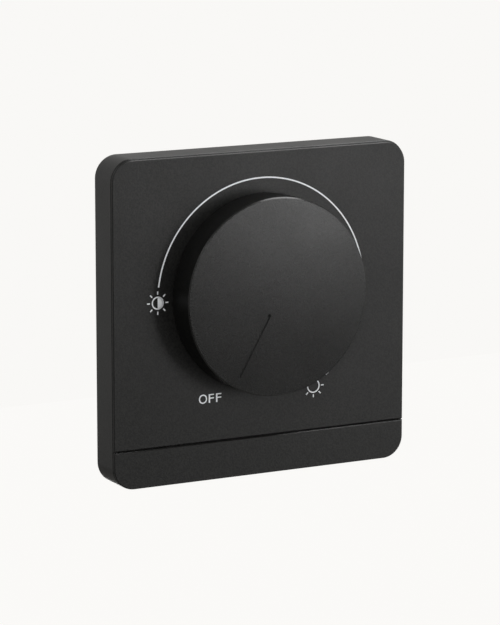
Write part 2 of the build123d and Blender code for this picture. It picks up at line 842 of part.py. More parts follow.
def trimmer_pins():
    """Places of the three trimmer leads."""
    x, z = trimmer_place
    half = trimmer_pitch / 2
    return [(x - half, z - half), (x + half, z - half), (x, z + half)]


def make_trimmer():
    """Preset for the lowest brightness, with a slotted rotor that faces the room."""
    x, z = trimmer_place
    top = board_front + trimmer_height
    body = block(trimmer_size, trimmer_size, board_front, top, x, z)
    body += disc(trimmer_rotor_r, top, top + trimmer_rotor, x, z)
    body -= block(3 * trimmer_rotor_r, cross_width, top, top + trimmer_rotor, x, z)
    for pin_x, pin_z in trimmer_pins():
        body += disc(pin_r, lead_end, board_front, pin_x, pin_z)
    return body


def make_circuit_board():
    """Board on the bosses' seats, notched round the bosses and drilled for every lead."""
    plan = Rectangle(inner_w - 2 * air_gap, inner_h - 2 * air_gap)
    plan -= [Pos(x, z) * Circle(boss_r + air_gap) for x, z in boss_places]
    plan -= [
        Pos(sx * inner_w / 2, sz * inner_h / 2) * Rectangle(2 * boss_r, 2 * boss_r)
        for sx in (-1, 1)
        for sz in (-1, 1)
    ]
    round_leads = wafer_pins() + switch_pins() + film_pins() + fuse_pins()
    round_leads += timing_pins() + trimmer_pins()
    holes = [(place, pin_r) for place in round_leads]
    holes += [(place, lead_width * 0.75) for place in triac_pins()]
    holes += [(place, wire_gauge / 3) for place in choke_pins()]
    for place in resistor_places:
        holes += [(pin, lead_r) for pin in axial_pins(place, resistor_length)]
    holes += [(pin, lead_r) for pin in axial_pins(diac_place, diac_length)]
    plan -= [Pos(*place) * Circle(radius + slip_gap) for place, radius in holes]
    tag = Rectangle(tag_width + 2 * slip_gap, tag_thick + 2 * slip_gap)
    plan -= [Pos(x, pillar_z) * tag for x in terminal_xs]
    return slab(plan, board_back, board_front)


pieces = {
    "surround_frame": make_surround_frame(),
    "front_plate": make_front_plate(),
    "lower_strip": make_lower_strip(),
    "control_knob": make_control_knob(),
    "knob_ring": make_knob_ring(),
    "spindle": make_spindle(),
    "retaining_ring": make_retaining_ring(),
    "potentiometer_bushing": make_potentiometer_bushing(),
    "bushing_washer": make_bushing_washer(),
    "bushing_nut": make_bushing_nut(),
    "potentiometer_case": make_potentiometer_case(),
    "potentiometer_wafer": make_potentiometer_wafer(),
    "potentiometer_rotor": make_potentiometer_rotor(),
    "potentiometer_wiper": make_potentiometer_wiper(),
    "off_switch": make_off_switch(),
    "heat_sink": make_heat_sink(),
    "carrier_plate": make_carrier_plate(),
    "rear_housing": make_rear_housing(),
    "housing_screws": make_housing_screws(),
    "circuit_board": make_circuit_board(),
    "triac": make_triac(),
    "triac_pad": make_triac_pad(),
    "triac_screw": make_triac_screw(),
    "triac_nut": make_triac_nut(),
    "terminal_pillars": make_terminal_pillars(),
    "terminal_screws": make_terminal_screws(),
    "fuse_tube": make_fuse_tube(),
    "fuse_caps": make_fuse_caps(),
    "fuse_clips": make_fuse_clips(),
    "film_capacitor": make_film_capacitor(),
    "choke_core": make_choke_core(),
    "choke_winding": make_choke_winding(),
    "timing_capacitor": make_timing_capacitor(),
    "resistors": make_resistors(),
    "diac": make_diac(),
    "trimmer": make_trimmer(),
}

os.makedirs("parts", exist_ok=True)
for name, piece in pieces.items():
    export_step(piece, f"parts/{name}.step")
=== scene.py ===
from math import cos, pi, radians, sin

import bmesh
import bpy
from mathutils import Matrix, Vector


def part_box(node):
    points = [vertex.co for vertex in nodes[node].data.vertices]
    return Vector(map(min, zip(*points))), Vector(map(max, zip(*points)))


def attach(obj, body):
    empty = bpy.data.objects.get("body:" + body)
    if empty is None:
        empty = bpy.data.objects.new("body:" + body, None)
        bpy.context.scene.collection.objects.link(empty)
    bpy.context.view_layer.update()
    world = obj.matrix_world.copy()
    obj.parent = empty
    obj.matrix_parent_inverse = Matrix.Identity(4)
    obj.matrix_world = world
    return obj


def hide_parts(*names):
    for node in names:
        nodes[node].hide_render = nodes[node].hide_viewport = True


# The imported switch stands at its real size, in metres: the wall plane is y = 0, the room is towards -y.
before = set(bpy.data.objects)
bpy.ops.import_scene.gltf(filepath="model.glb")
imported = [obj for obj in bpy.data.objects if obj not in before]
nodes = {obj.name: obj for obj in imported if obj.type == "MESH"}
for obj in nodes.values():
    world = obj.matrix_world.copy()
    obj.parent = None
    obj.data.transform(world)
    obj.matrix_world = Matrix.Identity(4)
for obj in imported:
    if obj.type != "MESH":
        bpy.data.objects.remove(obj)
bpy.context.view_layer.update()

# Rear housing
# The box that goes into the wall: one moulding of pale grey PBT polyester, with vents, screw bosses
# and two wire entries. The tool leaves it a fine dull grain, and its edges are slightly rounded.
mm = 0.001
housing_edge = 0.25 * mm


def linear(code):
    """The linear values of a colour that is written as an sRGB hex code."""
    channels = [int(code[i : i + 2], 16) / 255 for i in (1, 3, 5)]
    return [c / 12.92 if c <= 0.04045 else ((c + 0.055) / 1.055) ** 2.4 for c in channels] + [1.0]


def add(owner, kind, inputs={}, **settings):
    """Add one shader node with its settings, its input values and the outputs linked to its inputs."""
    node = owner.node_tree.nodes.new("ShaderNode" + kind)
    for name, value in settings.items():
        setattr(node, name, value)
    for socket, value in inputs.items():
        if isinstance(value, bpy.types.NodeSocket):
            owner.node_tree.links.new(value, node.inputs[socket])
        else:
            node.inputs[socket].default_value = value
    return node


def empty_material(name):
    """A material with no nodes yet."""
    material = bpy.data.materials.new(name)
    material.use_nodes = True
    material.node_tree.nodes.clear()
    return material


def moulded(name, dark, light, grain, depth, roughness, gloss):
    """A moulded plastic: the fine pits of a spark-eroded tool, and faint flow clouds in its sheen.

    A real tool's pits are too fine to show at this size, so the grain is drawn coarser.
    """
    cloud_size = 14 * mm
    sheen_swing = 0.05
    pit_floor, pit_brim = 0.35, 0.65
    material = empty_material(name)
    place = add(material, "TexCoord").outputs["Object"]
    clouds = add(material, "TexNoise", {"Vector": place, "Scale": 1 / cloud_size, "Detail": 3.0})
    pits = add(material, "TexNoise", {"Vector": place, "Scale": 1 / grain, "Detail": 1.0})
    speckle = add(
        material,
        "MapRange",
        {"Value": pits.outputs["Fac"], "From Min": pit_floor, "From Max": pit_brim},
    )
    tint = add(
        material,
        "MixRGB",
        {"Fac": speckle.outputs["Result"], "Color1": linear(dark), "Color2": linear(light)},
    )
    dullness = add(
        material,
        "MapRange",
        {
            "Value": clouds.outputs["Fac"],
            "To Min": roughness - sheen_swing,
            "To Max": roughness + sheen_swing,
        },
    )
    relief = add(material, "Bump", {"Height": pits.outputs["Fac"], "Strength": 1.0, "Distance": depth})
    shader = add(
        material,
        "BsdfPrincipled",
        {
            "Base Color": tint.outputs["Color"],
            "Roughness": dullness.outputs["Result"],
            "Specular IOR Level": gloss,
            "Normal": relief.outputs["Normal"],
        },
    )
    add(material, "OutputMaterial", {"Surface": shader.outputs["BSDF"]})
    return material


def make_active(piece):
    """Leave only this piece selected, and work on it."""
    bpy.ops.object.select_all(action="DESELECT")
    piece.select_set(True)
    bpy.context.view_layer.objects.active = piece


def smooth(piece):
    """Shade round faces smooth and keep flat faces flat."""
    crease = radians(40)
    make_active(piece)
    bpy.ops.object.shade_smooth_by_angle(angle=crease)
    flats = piece.modifiers.new("flat faces", "WEIGHTED_NORMAL")
    flats.keep_sharp = True
    bpy.ops.object.modifier_apply(modifier=flats.name)


def rounded_copy(node, edge):
    """A solid's mesh, copied, merged to whole faces and given rounded edges."""
    weld = 0.001 * mm
    flat_within = radians(0.5)
    sharp_beyond = radians(35)
    piece = bpy.data.objects.new(node + "_rounded", nodes[node].data.copy())
    bpy.context.scene.collection.objects.link(piece)
    make_active(piece)
    bpy.ops.mesh.customdata_custom_splitnormals_clear()
    bpy.ops.object.mode_set(mode="EDIT")
    bpy.ops.mesh.select_all(action="SELECT")
    bpy.ops.mesh.remove_doubles(threshold=weld)
    bpy.ops.mesh.dissolve_limited(angle_limit=flat_within)
    bpy.ops.object.mode_set(mode="OBJECT")
    rounding = piece.modifiers.new("rounded edges", "BEVEL")
    rounding.width = edge
    rounding.segments = 2
    rounding.limit_method = "ANGLE"
    rounding.angle_limit = sharp_beyond
    bpy.ops.object.modifier_apply(modifier=rounding.name)
    smooth(piece)
    return piece


def dress(piece, material):
    """Give a piece its one material."""
    piece.data.materials.clear()
    piece.data.materials.append(material)


# PBT from a finely eroded tool: an even, dull, creamy grey with soft highlights.
pale_polyester = moulded(
    "pale PBT polyester", "#bdbcb6", "#c8c7c1", grain=0.4 * mm, depth=0.006 * mm, roughness=0.5, gloss=0.4
)
housing = rounded_copy("rear_housing", housing_edge)
dress(housing, pale_polyester)
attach(housing, "base")
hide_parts("rear_housing")

# Terminals
# Two brass pillars, sawn from drawn bar and drilled for the wires, each with a zinc-plated steel clamping
# screw that is reached from the back. Streaks from drawing, and the plating's cloudy bloom, show on them.


def metal(name, dark, light, streak, roughness):
    """A metal in two close tones, which lie in streaks or clouds of the given size along x, y and z.

    Real streaks are finer. These are drawn coarser so that they show.
    """
    sheen_swing = 0.08
    material = empty_material(name)
    place = add(material, "TexCoord").outputs["Object"]
    drawn = add(material, "Mapping", {"Vector": place, "Scale": [1 / size for size in streak]})
    bloom = add(material, "TexNoise", {"Vector": drawn.outputs["Vector"], "Scale": 1.0, "Detail": 3.0})
    tint = add(
        material,
        "MixRGB",
        {"Fac": bloom.outputs["Fac"], "Color1": linear(dark), "Color2": linear(light)},
    )
    dullness = add(
        material,
        "MapRange",
        {
            "Value": bloom.outputs["Fac"],
            "To Min": roughness - sheen_swing,
            "To Max": roughness + sheen_swing,
        },
    )
    shader = add(
        material,
        "BsdfPrincipled",
        {"Base Color": tint.outputs["Color"], "Roughness": dullness.outputs["Result"], "Metallic": 1.0},
    )
    add(material, "OutputMaterial", {"Surface": shader.outputs["BSDF"]})
    return material


# Drawn brass is a warm yellow, finely streaked along the bar. Zinc plate is a cool grey with a cloudy bloom.
brass = metal("drawn brass", "#c39a52", "#d8b56c", streak=(0.4 * mm, 6 * mm, 0.4 * mm), roughness=0.3)
zinc = metal(
    "zinc-plated steel", "#b3b5b4", "#cfd0cd", streak=(1.2 * mm, 1.2 * mm, 1.2 * mm), roughness=0.34
)
dress(nodes["terminal_pillars"], brass)
dress(nodes["terminal_screws"], zinc)

# Circuit board
# Glass-fibre laminate under green solder resist, with the copper tracks showing through it as paler lines,
# in a plain stand-in for their layout. The small parts on its front are dipped or moulded, and all are
# soldered behind by their tinned leads.
board_lacquer = empty_material("solder resist on laminate")
place = add(board_lacquer, "TexCoord").outputs["Object"]
across = add(board_lacquer, "Mapping", {"Vector": place, "Rotation": (pi / 2, 0, 0)})
tracks = add(
    board_lacquer,
    "TexBrick",
    {
        "Vector": across.outputs["Vector"],
        "Color1": linear("#1f5a35"),
        "Color2": linear("#235f39"),
        "Mortar": linear("#3f8a55"),
        "Scale": 1.0,
        "Mortar Size": 0.3 * mm,
        "Brick Width": 7 * mm,
        "Row Height": 3.2 * mm,
    },
)
shader = add(board_lacquer, "BsdfPrincipled", {"Base Color": tracks.outputs["Color"], "Roughness": 0.28})
add(board_lacquer, "OutputMaterial", {"Surface": shader.outputs["BSDF"]})
dress(nodes["circuit_board"], board_lacquer)
# Phenolic is hard and brittle, and looks black with a faint even sheen.
phenolic = moulded(
    "black phenolic moulding",
    "#151515",
    "#1d1d1c",
    grain=0.3 * mm,
    depth=0.003 * mm,
    roughness=0.4,
    gloss=0.5,
)
dress(nodes["trimmer"], phenolic)


def leaded(name, dark, light, low, high, roughness):
    """A part with a coloured body in the box between two corners, in mm, and tinned leads outside it.

    The body's faint mottling is drawn coarser than real, so that it shows.
    """
    speckle_size = 0.5 * mm
    margin = 0.01 * mm
    tin = linear("#c9c9c4")
    material = empty_material(name)
    low, high = Vector(low) * mm, Vector(high) * mm
    place = add(material, "TexCoord").outputs["Object"]
    speckle = add(material, "TexNoise", {"Vector": place, "Scale": 1 / speckle_size, "Detail": 2.0})
    tint = add(
        material,
        "MixRGB",
        {"Fac": speckle.outputs["Fac"], "Color1": linear(dark), "Color2": linear(light)},
    )
    centred = add(material, "VectorMath", {0: place, 1: (low + high) / 2}, operation="SUBTRACT")
    reach = add(material, "VectorMath", {0: centred.outputs["Vector"]}, operation="ABSOLUTE")
    half = (high - low) / 2
    past = add(material, "VectorMath", {0: reach.outputs["Vector"], 1: half}, operation="SUBTRACT")
    axes = add(material, "SeparateXYZ", {0: past.outputs["Vector"]}).outputs
    widest = add(material, "Math", {0: axes["X"], 1: axes["Y"]}, operation="MAXIMUM")
    widest = add(material, "Math", {0: widest.outputs["Value"], 1: axes["Z"]}, operation="MAXIMUM")
    is_lead = add(material, "Math", {0: widest.outputs["Value"], 1: margin}, operation="GREATER_THAN")
    colour = add(
        material,
        "MixRGB",
        {"Fac": is_lead.outputs["Value"], "Color1": tint.outputs["Color"], "Color2": tin},
    )
    shader = add(
        material,
        "BsdfPrincipled",
        {
            "Base Color": colour.outputs["Color"],
            "Metallic": is_lead.outputs["Value"],
            "Roughness": roughness,
        },
    )
    add(material, "OutputMaterial", {"Surface": shader.outputs["BSDF"]})
    return material


# Dipped epoxy is thick and softly glossy, resistor lacquer is smoother, and painted glass shines most.
timing_epoxy = leaded(
    "yellow epoxy dip", "#c9962f", "#d9a63c", low=(-19.1, 1.4, -2.4), high=(-11.7, 8.0, 0.4), roughness=0.4
)
resistor_paint = leaded(
    "beige resistor lacquer", "#c9ab80", "#d6b98e", low=(11, 5, -5.2), high=(19, 8.1, 1.2), roughness=0.3
)
diac_glass = leaded(
    "blue-painted glass", "#27486f", "#2d5280", low=(14, 6, 11.1), high=(16, 8.1, 14.9), roughness=0.2
)
dress(nodes["timing_capacitor"], timing_epoxy)
dress(nodes["resistors"], resistor_paint)
dress(nodes["diac"], diac_glass)

# Fuse, film capacitor and choke
# Behind the board: a glass fuse between plated caps in brass spring clips, a yellow box capacitor filled
# with epoxy, and a choke, which is a sintered ferrite rod with a winding of enamelled copper.
ripple_size = 2 * mm
ripple_depth = 0.01 * mm
# Drawn glass is clear and bright, with a slight ripple that bends what is seen through it.
clear_glass = empty_material("clear soda glass")
place = add(clear_glass, "TexCoord").outputs["Object"]
ripple = add(clear_glass, "TexNoise", {"Vector": place, "Scale": 1 / ripple_size})
drawn = add(
    clear_glass,
    "Bump",
    {"Height": ripple.outputs["Fac"], "Strength": 1.0, "Distance": ripple_depth},
)
shader = add(
    clear_glass,
    "BsdfPrincipled",
    {
        "Base Color": linear("#f2f7f5"),
        "Roughness": 0.03,
        "Transmission Weight": 1.0,
        "Normal": drawn.outputs["Normal"],
    },
)
add(clear_glass, "OutputMaterial", {"Surface": shader.outputs["BSDF"]})
dress(nodes["fuse_tube"], clear_glass)
dress(nodes["fuse_caps"], zinc)
dress(nodes["fuse_clips"], brass)
# The capacitor's moulded box has an even satin yellow.
film_box = leaded(
    "yellow capacitor box", "#cf9c35", "#daa941", low=(-9.1, 10.4, -4), high=(9.1, 22.6, 4.4), roughness=0.35
)
dress(nodes["film_capacitor"], film_box)
# Sintered ferrite is a dull grey-black, rough like unglazed stone.
ferrite = moulded(
    "sintered ferrite", "#232324", "#2e2e30", grain=0.5 * mm, depth=0.02 * mm, roughness=0.6, gloss=0.5
)
dress(nodes["choke_core"], ferrite)
# Enamelled copper is a red-brown metal under a thin glossy varnish.
enamel = metal("enamelled copper", "#8f3f1c", "#a9502a", streak=(2 * mm, 2 * mm, 2 * mm), roughness=0.22)
dress(nodes["choke_winding"], enamel)

# Potentiometer and switch
# A phenolic cup closed by a paper laminate wafer, on which a brass wiper runs round a black carbon track.
# The turned brass spindle and bushing come out in front, and a sealed switch sits behind.
fibre_size = 0.8 * mm
track_r = 4.5 * mm
track_half_width = 0.8 * mm
# Phenolic paper is brown and mottled by its fibres, which are drawn coarser than real. The carbon printed
# on it is a dull black ring.
wafer_paper = empty_material("phenolic paper with carbon track")
low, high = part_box("potentiometer_bushing")
axis_z = (low.z + high.z) / 2
place = add(wafer_paper, "TexCoord").outputs["Object"]
fibres = add(wafer_paper, "TexNoise", {"Vector": place, "Scale": 1 / fibre_size, "Detail": 4.0})
tint = add(
    wafer_paper,
    "MixRGB",
    {"Fac": fibres.outputs["Fac"], "Color1": linear("#7d5a33"), "Color2": linear("#93703f")},
)
centred = add(wafer_paper, "VectorMath", {0: place, 1: (0, 0, axis_z)}, operation="SUBTRACT")
flat = add(wafer_paper, "VectorMath", {0: centred.outputs["Vector"], 1: (1, 0, 1)}, operation="MULTIPLY")
radius = add(wafer_paper, "VectorMath", {0: flat.outputs["Vector"]}, operation="LENGTH")
on_track = add(
    wafer_paper,
    "Math",
    {0: radius.outputs["Value"], 1: track_r, 2: track_half_width},
    operation="COMPARE",
)
colour = add(
    wafer_paper,
    "MixRGB",
    {"Fac": on_track.outputs["Value"], "Color1": tint.outputs["Color"], "Color2": linear("#1a1a1a")},
)
shader = add(wafer_paper, "BsdfPrincipled", {"Base Color": colour.outputs["Color"], "Roughness": 0.5})
add(wafer_paper, "OutputMaterial", {"Surface": shader.outputs["BSDF"]})
dress(nodes["potentiometer_wafer"], wafer_paper)
for node in ("potentiometer_case", "potentiometer_rotor", "off_switch"):
    dress(nodes[node], phenolic)
for node in ("potentiometer_wiper", "potentiometer_bushing", "spindle"):
    dress(nodes[node], brass)
for node in ("retaining_ring", "bushing_washer", "bushing_nut"):
    dress(nodes[node], zinc)

# Heat sink and triac
# The heat sink is folded from rolled aluminium sheet, streaked along the rolling. The triac, in black epoxy
# with a tinned tab, is screwed to it through a grey-blue silicone pad.
rolled = metal(
    "rolled aluminium", "#a9abad", "#bfc1c3", streak=(12 * mm, 0.5 * mm, 0.5 * mm), roughness=0.36
)
dress(nodes["heat_sink"], rolled)
# Silicone rubber is dull and soft to the eye, with no clear highlight.
pad_rubber = moulded(
    "silicone rubber sheet", "#8f9aa4", "#9aa5ae", grain=0.6 * mm, depth=0.01 * mm, roughness=0.7, gloss=0.4
)
dress(nodes["triac_pad"], pad_rubber)
# The moulded epoxy is a flat black beside the bright tin.
epoxy = leaded(
    "black epoxy and tinned tab",
    "#191919",
    "#222221",
    low=(-7.9, -1.2, -19.7),
    high=(1.4, 1.7, -9.5),
    roughness=0.4,
)
dress(nodes["triac"], epoxy)
dress(nodes["triac_screw"], zinc)
dress(nodes["triac_nut"], zinc)

# Carrier plate
# The base that is screwed to the wall box: a dark grey PBT polyester moulding with cored-out pockets behind,
# two fixing slots and four windows for the front plate's hooks. Four plated screws hold the housing to it.
carrier_edge = 0.12 * mm
# The housing's polyester in grey, as dull and as even.
grey_polyester = moulded(
    "grey PBT polyester", "#6f7070", "#7a7b7b", grain=0.4 * mm, depth=0.006 * mm, roughness=0.5, gloss=0.4
)
carrier = rounded_copy("carrier_plate", carrier_edge)
dress(carrier, grey_polyester)
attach(carrier, "base")
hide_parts("carrier_plate")
dress(nodes["housing_screws"], zinc)

# Surround frame
# The side walls of the cover: a square ring of charcoal polycarbonate with a thin front lip. It rests
# on the wall round the carrier, and a notch in its lower edge takes a screwdriver.
low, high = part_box("surround_frame")
plate_half = high.x
plate_corner = 6.0 * mm
frame_wall = 2.4 * mm
lip_wall = 1.1 * mm
lip_front = low.y - 0.22 * mm
lip_back = low.y + 1.15 * mm
lip_chamfer = 0.25 * mm
back_edge = 0.15 * mm
notch_width = 9.0 * mm
notch_height = 1.2 * mm
corner_steps = 16
cutter_past = 1 * mm


def add_block(name, low, high):
    """A block between two corners, to be shaped in edit mode."""
    low, high = Vector(low), Vector(high)
    bpy.ops.object.select_all(action="DESELECT")
    bpy.ops.mesh.primitive_cube_add(size=1, location=(low + high) / 2, scale=high - low)
    bpy.ops.object.transform_apply(location=True, rotation=True, scale=True)
    piece = bpy.context.object
    piece.name = name
    return piece


def pick(kind, test):
    """Select, in the mesh that is being edited, only the faces or edges for which the test holds."""
    bpy.ops.mesh.select_mode(type=kind)
    bpy.ops.mesh.select_all(action="DESELECT")
    mesh = bmesh.from_edit_mesh(bpy.context.object.data)
    for element in mesh.faces if kind == "FACE" else mesh.edges:
        if test(element):
            element.select_set(True)
    bmesh.update_edit_mesh(bpy.context.object.data)


def runs_deep(edge):
    """Whether an edge runs from the front to the back."""
    nearly_along = 0.99
    start, end = (vert.co for vert in edge.verts)
    return abs((end - start).normalized().y) > nearly_along


def lies_at(element, level):
    """Whether an edge or face lies in the plane at one depth."""
    slack = 0.01 * mm
    return all(abs(vert.co.y - level) < slack for vert in element.verts)


def add_tile(name, half, corner, front, back):
    """A square tile with round corners, to be shaped further."""
    piece = add_block(name, (-half, front, -half), (half, back, half))
    bpy.ops.object.mode_set(mode="EDIT")
    pick("EDGE", runs_deep)
    bpy.ops.mesh.bevel(offset=corner, segments=corner_steps, affect="EDGES")
    bpy.ops.object.mode_set(mode="OBJECT")
    return piece


def draw_out(x=0.0, y=0.0, z=0.0):
    """Extrude what is selected by a distance."""
    bpy.ops.mesh.extrude_region_move(TRANSFORM_OT_translate={"value": (x, y, z)})


def merge(piece, tool, operation):
    """Join a second solid to a piece, or cut it out of the piece."""
    make_active(piece)
    step = piece.modifiers.new(operation.lower(), "BOOLEAN")
    step.operation = operation
    step.object = tool
    bpy.ops.object.modifier_apply(modifier=step.name)
    bpy.data.objects.remove(tool)


surround = add_tile("surround_frame_walls", plate_half, plate_corner, lip_front, high.y)
bpy.ops.object.mode_set(mode="EDIT")
pick("EDGE", lambda edge: lies_at(edge, high.y))
bpy.ops.mesh.bevel(offset=back_edge, segments=2, affect="EDGES")
pick("EDGE", lambda edge: lies_at(edge, lip_front))
bpy.ops.mesh.bevel(offset=lip_chamfer, segments=1, affect="EDGES")
bpy.ops.object.mode_set(mode="OBJECT")
for wall, back in ((frame_wall, high.y + cutter_past), (lip_wall, lip_back)):
    opening = add_tile("opening", plate_half - wall, plate_corner - wall, lip_front - cutter_past, back)
    merge(surround, opening, "DIFFERENCE")
notch = add_block(
    "notch",
    (-notch_width / 2, -notch_height, low.z - frame_wall),
    (notch_width / 2, notch_height, low.z + 2 * frame_wall),
)
merge(surround, notch, "DIFFERENCE")
smooth(surround)
# Charcoal polycarbonate is nearly black, and its eroded grain greys it with a soft, broad sheen.
charcoal = moulded(
    "charcoal polycarbonate",
    "#0a0a0a",
    "#1a1a19",
    grain=0.4 * mm,
    depth=0.02 * mm,
    roughness=0.41,
    gloss=0.285,
)
dress(surround, charcoal)
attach(surround, "base")
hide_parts("surround_frame")

# Front plate
# The fascia: a flat charcoal polycarbonate moulding with a bevelled edge, rebated behind so that it laps
# over the frame's lip. Its tongue carries the lower strip, and four hooks snap into the carrier.
strip_low, strip_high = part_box("lower_strip")
low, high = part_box("front_plate")
plate_front = low.y
edge_back = plate_front + 0.6 * mm
tongue_front = plate_front + 1.2 * mm
core_back = plate_front + 2.0 * mm
core_half = -low.z
core_corner = plate_corner - (plate_half - core_half)
side_inset = 0.12 * mm
top_inset = 0.4 * mm
bottom_inset = 0.03 * mm
corner_inset = 0.2 * mm
groove_height = 0.3 * mm
face_half = plate_half - side_inset
face_top = plate_half - top_inset
face_corner = plate_corner - corner_inset
strip_top = strip_high.z
strip_bottom = bottom_inset - plate_half
face_low = strip_top + groove_height
edge_bevel = 0.25 * mm
overlap = 0.1 * mm
root = 0.2 * mm
peg_x = 30.0 * mm
peg_z = (strip_low.z + strip_high.z) / 2
peg_hole = 1.3 * mm
nut_hole = 7.23 * mm
hook_tip = high.y
hook_x = 39.0 * mm
hook_thick = 1.4 * mm
hook_half = 4.5 * mm
hook_z = 22.0 * mm
barb_reach = 1.2 * mm
barb_top = hook_tip - 1.8 * mm
barb_nose = hook_tip - 1.3 * mm
knob_low, knob_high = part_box("control_knob")
knob_z = (knob_low.z + knob_high.z) / 2


def add_rod(name, radius, front, back, x, z, vertices):
    """A round bar along the depth of the switch."""
    bpy.ops.object.select_all(action="DESELECT")
    bpy.ops.mesh.primitive_cylinder_add(
        vertices=vertices,
        radius=radius,
        depth=back - front,
        location=(x, (front + back) / 2, z),
        rotation=(pi / 2, 0, 0),
    )
    bpy.ops.object.transform_apply(location=True, rotation=True, scale=True)
    piece = bpy.context.object
    piece.name = name
    return piece


def copy_of(piece):
    """A copy with its own mesh."""
    copy = piece.copy()
    copy.data = piece.data.copy()
    bpy.context.scene.collection.objects.link(copy)
    return copy


plate = add_block(
    "front_plate_fascia",
    (-face_half, plate_front, face_low),
    (face_half, edge_back, face_top),
)
bpy.ops.object.mode_set(mode="EDIT")
pick("EDGE", lambda edge: runs_deep(edge) and edge.verts[0].co.z > 0)
bpy.ops.mesh.bevel(offset=face_corner, segments=corner_steps, affect="EDGES")
pick("EDGE", lambda edge: lies_at(edge, plate_front))
bpy.ops.mesh.bevel(offset=edge_bevel, segments=1, affect="EDGES")
bpy.ops.object.mode_set(mode="OBJECT")

core = add_tile("core", core_half, core_corner, tongue_front, core_back)
bpy.ops.object.mode_set(mode="EDIT")
bpy.ops.mesh.select_all(action="SELECT")
bpy.ops.mesh.bisect(plane_co=(0, 0, face_low), plane_no=(0, 0, 1))
pick("FACE", lambda face: lies_at(face, tongue_front) and face.calc_center_median().z > face_low)
draw_out(y=edge_back - tongue_front - overlap)
bpy.ops.object.mode_set(mode="OBJECT")
merge(plate, core, "UNION")
hole_back = core_back + cutter_past
hole = add_rod("hole", nut_hole, plate_front - cutter_past, hole_back, 0, knob_z, vertices=64)
merge(plate, hole, "DIFFERENCE")
for side in (-1, 1):
    hole = add_rod("hole", peg_hole, tongue_front - cutter_past, hole_back, side * peg_x, peg_z, vertices=24)
    merge(plate, hole, "DIFFERENCE")

hook = add_block(
    "hook",
    (hook_x - hook_thick, core_back - root, -hook_half),
    (hook_x, hook_tip, hook_half),
)
bpy.ops.object.mode_set(mode="EDIT")
for level in (barb_top, barb_nose):
    bpy.ops.mesh.select_all(action="SELECT")
    bpy.ops.mesh.bisect(plane_co=(0, level, 0), plane_no=(0, 1, 0))
pick("FACE", lambda face: face.normal.x > 0.9 and face.calc_center_median().y > barb_top)
draw_out(x=barb_reach)
barb_middle = hook_x + barb_reach / 2
pick("EDGE", lambda edge: lies_at(edge, hook_tip) and all(v.co.x > barb_middle for v in edge.verts))
bpy.ops.transform.translate(value=(-barb_reach, 0, 0))
bpy.ops.mesh.select_all(action="SELECT")
bpy.ops.mesh.remove_doubles(threshold=0.01 * mm)
bpy.ops.object.mode_set(mode="OBJECT")
for side in (-1, 1):
    for z in (-hook_z, hook_z):
        copy = copy_of(hook)
        make_active(copy)
        copy.scale.x = side
        copy.location.z = z
        bpy.ops.object.transform_apply(location=True, rotation=True, scale=True)
        if side < 0:
            copy.data.flip_normals()
        merge(plate, copy, "UNION")
bpy.data.objects.remove(hook)
smooth(plate)
dress(plate, charcoal)
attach(plate, "base")
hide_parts("front_plate")

# Printed scale
# Pale grey ink, screen printed on the fascia in one film: an arc round the knob from a half-filled sun for
# dim light to an open sun for bright light, and the word OFF. The film stands a hair above the plastic.
film = 0.02 * mm
arc_r = 30.68 * mm
arc_x = 0.1 * mm
arc_z = 5.45 * mm
arc_start = radians(172.5)
arc_end = radians(-51)
arc_width = 0.38 * mm
ring_width = 0.35 * mm
ray_width = 0.32 * mm
ray_length = 0.82 * mm
ray_count = 8
dim_x, dim_z = -30.6 * mm, 5.38 * mm
dim_r, dim_rays = 1.55 * mm, 2.25 * mm
bright_x, bright_z = 15.62 * mm, -21.17 * mm
bright_r, bright_rays = 1.75 * mm, 2.3 * mm
word_low, word_high = -22.65 * mm, -20.2 * mm
o_left, o_right = -18.7 * mm, -16.31 * mm
f_lefts = (-15.83 * mm, -13.66 * mm)
f_width = 1.55 * mm
overshoot = 0.07 * mm
letter_weight = 0.001


def close_film(piece):
    """Join a mark's loose faces to one closed film of ink that faces outwards, with nothing inside it."""
    make_active(piece)
    bpy.ops.object.mode_set(mode="EDIT")
    bpy.ops.mesh.select_all(action="SELECT")
    bpy.ops.mesh.remove_doubles(threshold=0.002 * mm)
    bpy.ops.mesh.select_all(action="DESELECT")
    bpy.ops.mesh.select_mode(type="FACE")
    bpy.ops.mesh.select_interior_faces()
    bpy.ops.mesh.delete(type="FACE")
    bpy.ops.mesh.select_all(action="SELECT")
    bpy.ops.mesh.normals_make_consistent(inside=False)
    bpy.ops.object.mode_set(mode="OBJECT")


def printed_arc(name, radius, width, sweep, steps):
    """An arc of ink about the origin, from +x counterclockwise: a small cross section, spun."""
    bpy.ops.object.select_all(action="DESELECT")
    bpy.ops.mesh.primitive_plane_add(size=1, location=(radius, plate_front - film / 2, 0))
    piece = bpy.context.object
    piece.name = name
    piece.scale = (width, film, 1)
    bpy.ops.object.transform_apply(location=True, rotation=True, scale=True)
    bpy.ops.object.mode_set(mode="EDIT")
    bpy.ops.mesh.select_all(action="SELECT")
    bpy.ops.mesh.spin(steps=steps, angle=sweep, center=(0, 0, 0), axis=(0, 1, 0))
    bpy.ops.object.mode_set(mode="OBJECT")
    close_film(piece)
    return piece


def settle(piece, x, z, angle=0.0):
    """Turn a piece about the origin, counterclockwise as seen from the room, and move it to its place."""
    make_active(piece)
    piece.location = (x, 0, z)
    piece.rotation_euler.y = -angle
    bpy.ops.object.transform_apply(location=True, rotation=True, scale=True)
    return piece


